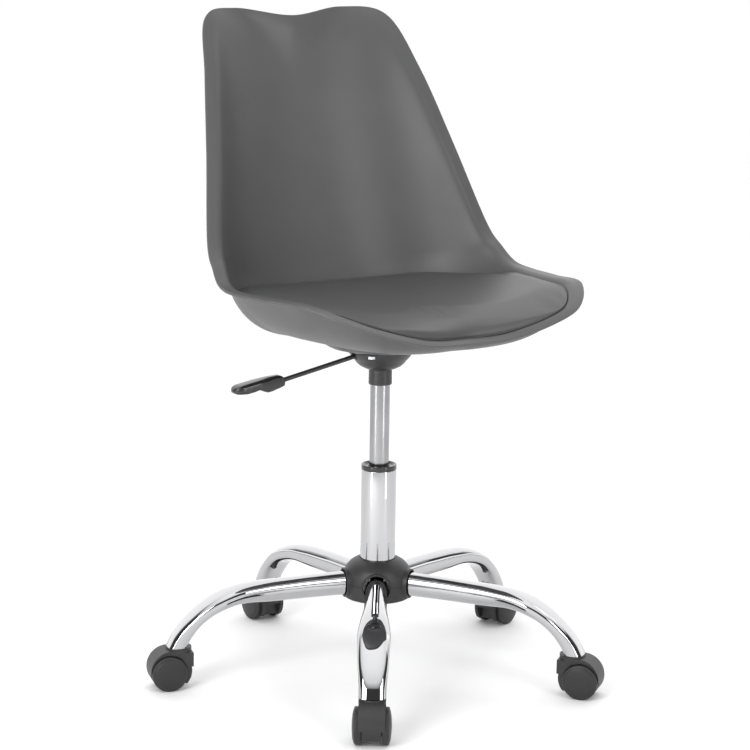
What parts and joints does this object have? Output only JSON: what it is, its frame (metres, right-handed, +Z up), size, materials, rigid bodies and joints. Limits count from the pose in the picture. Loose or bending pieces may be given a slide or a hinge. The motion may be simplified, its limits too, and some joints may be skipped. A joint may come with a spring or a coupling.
{
  "type": "swivel task chair",
  "caption": "Armless swivel task chair: moulded bucket shell with a back and seat pad, gas-lift column with lever, five-leg chromed base on twin-wheel casters.",
  "frame": {"origin": "on the floor, on the column's axis", "axes": "+Z up along the column; the seat's front faces -Y; +X is the sitter's left"},
  "size_m": [0.642, 0.6219, 0.9322],
  "materials": {
    "shell_plastic": "moulded polypropylene, fine even grain, neutral mid grey",
    "pad_leather": "smooth polyurethane leather, fine grain, satin, neutral grey",
    "foam": "polyurethane foam",
    "board": "bent plywood",
    "zinc_steel": "bright zinc plate",
    "black_steel": "black powder coat, satin",
    "gloss_black_plastic": "glossy black moulding",
    "tube_steel": "ground steel, satin",
    "brass_valve": "turned brass",
    "bush_plastic": "acetal",
    "column_chrome": "mirror chrome plate",
    "stop_rubber": "moulded rubber",
    "hub_plastic": "black nylon, fine spark texture, satin",
    "wheel_plastic": "charcoal nylon, satin",
    "axle_steel": "cold drawn steel"
  },
  "bodies": {
    "base": {"column_tube": "column_chrome", "column_cap": "gloss_black_plastic", "guide_bush": "bush_plastic", "column_plate": "zinc_steel", "bump_stop": "stop_rubber", "lower_race": "zinc_steel", "ball_cage": "zinc_steel", "hub_tube": "zinc_steel", "hub_cover_upper": "hub_plastic", "hub_cover_lower": "hub_plastic", "leg_sockets": "zinc_steel", "caster_stems": "zinc_steel", "leg_1": "column_chrome", "leg_2": "column_chrome", "leg_3": "column_chrome", "leg_4": "column_chrome", "leg_5": "column_chrome"},
    "spindle": {"piston_rod": "tube_steel", "piston": "bush_plastic", "upper_race": "zinc_steel", "rod_clip": "zinc_steel"},
    "seat": {"seat_shell": "shell_plastic", "pad_cover": "pad_leather", "pad_foam": "foam", "pad_board": "board", "seat_inserts": "zinc_steel", "seat_bolts": "zinc_steel", "bolt_washers": "zinc_steel", "seat_plate": "black_steel", "plate_cup": "black_steel", "lever_bracket": "black_steel", "lever_pivot_pin": "zinc_steel", "socket_tube": "black_steel", "pressure_tube": "tube_steel", "rod_gland": "bush_plastic", "valve_body": "brass_valve"},
    "lever": {"lever_rod": "black_steel", "lever_handle": "gloss_black_plastic"},
    "valve_pin": {"valve_pin": "tube_steel"},
    "caster_1": {"caster_hood_1": "hub_plastic", "caster_axle_1": "axle_steel"},
    "wheel_1_left": {"wheel_1_left": "wheel_plastic"},
    "wheel_1_right": {"wheel_1_right": "wheel_plastic"},
    "caster_2": {"caster_hood_2": "hub_plastic", "caster_axle_2": "axle_steel"},
    "wheel_2_left": {"wheel_2_left": "wheel_plastic"},
    "wheel_2_right": {"wheel_2_right": "wheel_plastic"},
    "caster_3": {"caster_hood_3": "hub_plastic", "caster_axle_3": "axle_steel"},
    "wheel_3_left": {"wheel_3_left": "wheel_plastic"},
    "wheel_3_right": {"wheel_3_right": "wheel_plastic"},
    "caster_4": {"caster_hood_4": "hub_plastic", "caster_axle_4": "axle_steel"},
    "wheel_4_left": {"wheel_4_left": "wheel_plastic"},
    "wheel_4_right": {"wheel_4_right": "wheel_plastic"},
    "caster_5": {"caster_hood_5": "hub_plastic", "caster_axle_5": "axle_steel"},
    "wheel_5_left": {"wheel_5_left": "wheel_plastic"},
    "wheel_5_right": {"wheel_5_right": "wheel_plastic"}
  },
  "joints": [
    {"name": "seat_swivel", "type": "hinge", "parent": "base", "child": "spindle", "pos_m": [0, 0, 0.15], "axis": [0, 0, 1], "continuous": true},
    {"name": "height_slide", "type": "slide", "parent": "spindle", "child": "seat", "axis": [0, 0, 1], "range_m": [-0.1, 0]},
    {"name": "lever_lift", "type": "hinge", "parent": "seat", "child": "lever", "pos_m": [-0.034, 0, 0.46497], "axis": [0, 1, 0], "range_deg": [0, 6], "stiffness_Nm_per_rad": 1.5},
    {"name": "valve_press", "type": "slide", "parent": "seat", "child": "valve_pin", "axis": [0, 0, -1], "range_m": [0, 0.004]},
    {"name": "caster_swivel_1", "type": "hinge", "parent": "base", "child": "caster_1", "pos_m": [-0.15795, -0.24321, 0.05], "axis": [0, 0, 1], "continuous": true},
    {"name": "wheel_spin_1_left", "type": "hinge", "parent": "caster_1", "child": "wheel_1_left", "pos_m": [-0.16666, -0.25663, 0.025], "axis": [0.8387, -0.5446, 0], "continuous": true},
    {"name": "wheel_spin_1_right", "type": "hinge", "parent": "caster_1", "child": "wheel_1_right", "pos_m": [-0.16666, -0.25663, 0.025], "axis": [0.8387, -0.5446, 0], "continuous": true},
    {"name": "caster_swivel_2", "type": "hinge", "parent": "base", "child": "caster_2", "pos_m": [0.1825, -0.22537, 0.05], "axis": [0, 0, 1], "continuous": true},
    {"name": "wheel_spin_2_left", "type": "hinge", "parent": "caster_2", "child": "wheel_2_left", "pos_m": [0.19257, -0.23781, 0.025], "axis": [0.7771, 0.6293, 0], "continuous": true},
    {"name": "wheel_spin_2_right", "type": "hinge", "parent": "caster_2", "child": "wheel_2_right", "pos_m": [0.19257, -0.23781, 0.025], "axis": [0.7771, 0.6293, 0], "continuous": true},
    {"name": "caster_swivel_3", "type": "hinge", "parent": "base", "child": "caster_3", "pos_m": [0.27074, 0.10393, 0.05], "axis": [0, 0, 1], "continuous": true},
    {"name": "wheel_spin_3_left", "type": "hinge", "parent": "caster_3", "child": "wheel_3_left", "pos_m": [0.28568, 0.10966, 0.025], "axis": [-0.3584, 0.9336, 0], "continuous": true},
    {"name": "wheel_spin_3_right", "type": "hinge", "parent": "caster_3", "child": "wheel_3_right", "pos_m": [0.28568, 0.10966, 0.025], "axis": [-0.3584, 0.9336, 0], "continuous": true},
    {"name": "caster_swivel_4", "type": "hinge", "parent": "base", "child": "caster_4", "pos_m": [-0.01518, 0.2896, 0.05], "axis": [0, 0, 1], "continuous": true},
    {"name": "wheel_spin_4_left", "type": "hinge", "parent": "caster_4", "child": "wheel_4_left", "pos_m": [-0.01602, 0.30558, 0.025], "axis": [-0.9986, -0.0523, 0], "continuous": true},
    {"name": "wheel_spin_4_right", "type": "hinge", "parent": "caster_4", "child": "wheel_4_right", "pos_m": [-0.01602, 0.30558, 0.025], "axis": [-0.9986, -0.0523, 0], "continuous": true},
    {"name": "caster_swivel_5", "type": "hinge", "parent": "base", "child": "caster_5", "pos_m": [-0.28012, 0.07506, 0.05], "axis": [0, 0, 1], "continuous": true},
    {"name": "wheel_spin_5_left", "type": "hinge", "parent": "caster_5", "child": "wheel_5_left", "pos_m": [-0.29557, 0.0792, 0.025], "axis": [-0.2588, -0.9659, 0], "continuous": true},
    {"name": "wheel_spin_5_right", "type": "hinge", "parent": "caster_5", "child": "wheel_5_right", "pos_m": [-0.29557, 0.0792, 0.025], "axis": [-0.2588, -0.9659, 0], "continuous": true}
  ],
  "couplings": [
    {"joint": "valve_press", "follows": "lever_lift", "m_per_rad": 0.035}
  ]
}
